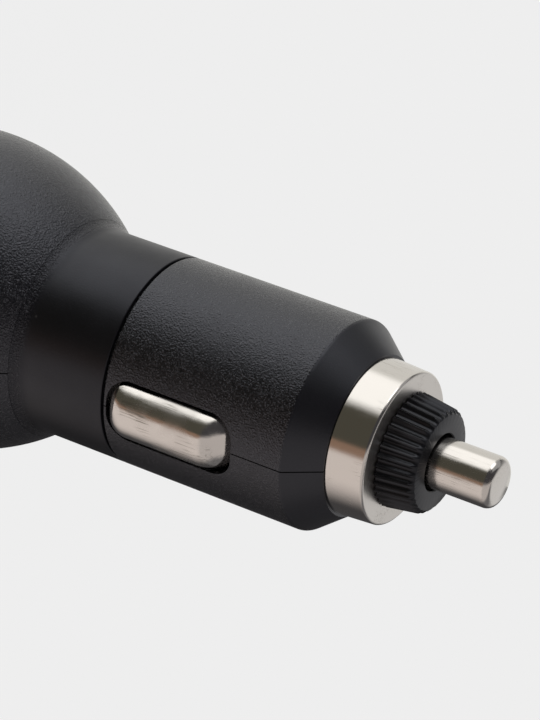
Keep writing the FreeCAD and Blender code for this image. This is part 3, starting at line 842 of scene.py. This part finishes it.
def viewAxes():
    # axes of the picture in the part's frame: right, up and toward the camera
    az = math.radians(view["azimuth"])
    el = math.radians(view["elevation"])
    roll = math.radians(view["roll"])
    back = Vector((math.sin(az) * math.cos(el), -math.cos(az) * math.cos(el), math.sin(el)))
    along = (Vector((0, 0, 1)) - back * back.z).normalized()
    across = back.cross(along)
    right = along * math.cos(roll) - across * math.sin(roll)
    up = along * math.sin(roll) + across * math.cos(roll)
    return right, up, back


def makeCamera():
    v = view
    right, up, back = viewAxes()
    datum = Vector((0, 0, level["ringTop"] * mm))
    place = datum + back * v["distance"] * mm
    offX = (v["frame"][0] / 2 - v["aimPixel"][0]) / v["pixelsPerMm"] * mm
    offY = (v["aimPixel"][1] - v["frame"][1] / 2) / v["pixelsPerMm"] * mm
    aim = datum + right * offX + up * offY
    ahead = (aim - place).normalized()
    side = ahead.cross(up).normalized()
    top = side.cross(ahead)
    data = bpy.data.cameras.new("camera")
    data.sensor_fit = "AUTO"
    data.sensor_width = v["sensor"]
    data.lens = v["pixelsPerMm"] * v["distance"] * v["sensor"] / v["frame"][1]
    data.clip_start = 0.01
    camera = bpy.data.objects.new("camera", data)
    turn = Matrix((side, top, -ahead)).transposed().to_4x4()
    camera.matrix_world = Matrix.Translation(place) @ turn
    bpy.context.scene.collection.objects.link(camera)
    bpy.context.scene.camera = camera


def addSoftbox(name, place, target, size, power):
    data = bpy.data.lights.new(name, "AREA")
    data.shape = "RECTANGLE"
    data.size = size[0]
    data.size_y = size[1]
    data.energy = power
    lamp = bpy.data.objects.new(name, data)
    lamp.location = place
    lamp.rotation_euler = (target - place).to_track_quat("-Z", "Y").to_euler()
    bpy.context.scene.collection.objects.link(lamp)


def stageSides():
    # level directions toward the camera and toward the key light, over the picture's top edge
    up, back = viewAxes()[1:]
    toCamera = Vector((back.x, back.y, 0)).normalized()
    keySide = Vector((toCamera.y, -toCamera.x, 0))
    if keySide.dot(up) < 0:
        keySide = -keySide
    return toCamera, keySide


def fromAngle(degrees, rise, distance):
    toCamera, keySide = stageSides()
    a = math.radians(degrees)
    e = math.radians(rise)
    flat = toCamera * math.cos(a) + keySide * math.sin(a)
    return (flat * math.cos(e) + Vector((0, 0, math.sin(e)))) * distance


softboxes = {
    "keySoftbox": {"angle": 88, "rise": 34, "power": 0.3},
    "backSoftbox": {"angle": 175, "rise": 40, "power": 0.06},
}
softboxSize = (0.6, 0.5)
softboxAway = 0.6
softboxAim = (0, 0, 0.045)


def makeLights():
    middle = Vector(softboxAim)
    for name, box in softboxes.items():
        place = middle + fromAngle(box["angle"], box["rise"], softboxAway)
        addSoftbox(name, place, middle, softboxSize, box["power"])


surround = {
    "dim": (0.075, 0.07, 0.055), "warm": (0.28, 0.18, 0.13), "low": (0.72, 0.65, 0.62),
    "bright": (1.3, 1.29, 1.27), "far": (0.76, 0.75, 0.72), "under": (0.06, 0.058, 0.06),
    "wall": (0.6, 0.59, 0.585), "room": (0.05, 0.048, 0.052), "shade": (0.16, 0.155, 0.16),
    "side": (0.52, 0.48, 0.465), "panel": (2.5, 2.47, 2.44),
}
# each band starts and is full at these angles from the camera's side toward the key
levelBands = [
    (-16, -22, "warm"), (-28, -38, "low"), (-70, -125, "under"),
    (26, 44, "bright"), (86, 100, "far"),
]
upperBands = [(-14, -34, "side"), (-95, -115, "shade"), (-135, -165, "wall"), (110, 165, "wall")]


def banded(tree, angle, colour, bands):
    for start, full, name in bands:
        colour = mixColour(tree, rangeNode(tree, angle, start, full), colour, surround[name])
    return colour


def surroundings(tree, angle):
    # brightness round the object for reflections, on the floor and at the horizon
    return banded(tree, angle, surround["dim"], levelBands)


def upperSide(tree, angle):
    # above the horizon: a dark room in front and over the key's side, pale walls elsewhere
    return banded(tree, angle, surround["room"], upperBands)


def lampPanel(tree, angle, z):
    # a soft panel low on the key's side, which gives the head its highlight
    start = rangeNode(tree, angle, 44.0, 60.0)
    end = rangeNode(tree, angle, 92.0, 74.0)
    top = rangeNode(tree, z, 0.56, 0.34)
    return mathNode(tree, "MULTIPLY", mathNode(tree, "MULTIPLY", start, end), top)


def keyAngle(tree, vector):
    # degrees round the Z axis from the camera's side, positive toward the key light
    toCamera, keySide = stageSides()
    dots = []
    for side in (toCamera, keySide):
        dot = addNode(tree, "ShaderNodeVectorMath", operation="DOT_PRODUCT")
        tree.links.new(vector, dot.inputs[0])
        dot.inputs[1].default_value = side
        dots.append(dot.outputs["Value"])
    angle = mathNode(tree, "ARCTAN2", dots[1], dots[0])
    return mathNode(tree, "MULTIPLY", angle, 180 / math.pi)


def makeWorld():
    # carries on the floor's pattern at the horizon
    world = bpy.data.worlds.new("studio")
    bpy.context.scene.world = world
    world.use_nodes = True
    tree = world.node_tree
    tree.nodes.clear()
    coords = addNode(tree, "ShaderNodeTexCoord").outputs["Generated"]
    angle = keyAngle(tree, coords)
    height = heightOf(tree, coords)
    rise = rangeNode(tree, height, 0.0, 0.25)
    panel = lampPanel(tree, angle, height)
    over = mixColour(tree, panel, upperSide(tree, angle), surround["panel"])
    ambient = mixColour(tree, rise, surroundings(tree, angle), over)
    light = addNode(tree, "ShaderNodeLightPath")
    paper = mixColour(tree, light.outputs["Is Camera Ray"], ambient, (stage["paper"],) * 3)
    shader = addNode(tree, "ShaderNodeBackground")
    tree.links.new(paper, shader.inputs["Color"])
    out = addNode(tree, "ShaderNodeOutputWorld")
    tree.links.new(shader.outputs[0], out.inputs["Surface"])


def makeFloor():
    bm = bmesh.new()
    bmesh.ops.create_grid(bm, x_segments=1, y_segments=1, size=stage["floorSize"] / 2)
    floor = objectFrom("floor", bm)
    material = bpy.data.materials.new("paper")
    material.use_nodes = True
    tree = material.node_tree
    diffuse = tree.nodes["Principled BSDF"]
    diffuse.inputs["Base Color"].default_value = (0.8, 0.8, 0.8, 1.0)
    diffuse.inputs["Roughness"].default_value = 0.9
    diffuse.inputs["Specular IOR Level"].default_value = 0.0
    light = addNode(tree, "ShaderNodeLightPath")
    coords = addNode(tree, "ShaderNodeTexCoord").outputs["Object"]
    mirrored = surroundings(tree, keyAngle(tree, coords))
    shown = mixColour(tree, light.outputs["Is Glossy Ray"], (stage["paper"],) * 3, mirrored)
    glow = addNode(tree, "ShaderNodeEmission")
    tree.links.new(shown, glow.inputs["Color"])
    seen = mathNode(tree, "MULTIPLY", light.outputs["Is Camera Ray"], stage["seenShare"])
    either = mathNode(tree, "MAXIMUM", seen, light.outputs["Is Glossy Ray"])
    mix = addNode(tree, "ShaderNodeMixShader")
    tree.links.new(either, mix.inputs[0])
    tree.links.new(diffuse.outputs[0], mix.inputs[1])
    tree.links.new(glow.outputs[0], mix.inputs[2])
    tree.links.new(mix.outputs[0], tree.nodes["Material Output"].inputs["Surface"])
    floor.data.materials.append(material)


dressNodes()
makeHousings()
makeSleeve()
makeRing()
makeNut()
makeTip()
makeContacts()
makeCoil()
makeCamera()
makeLights()
makeWorld()
makeFloor()
bpy.context.scene.view_settings.view_transform = "Standard"
print("stage made")

bpy.context.view_layer.update()
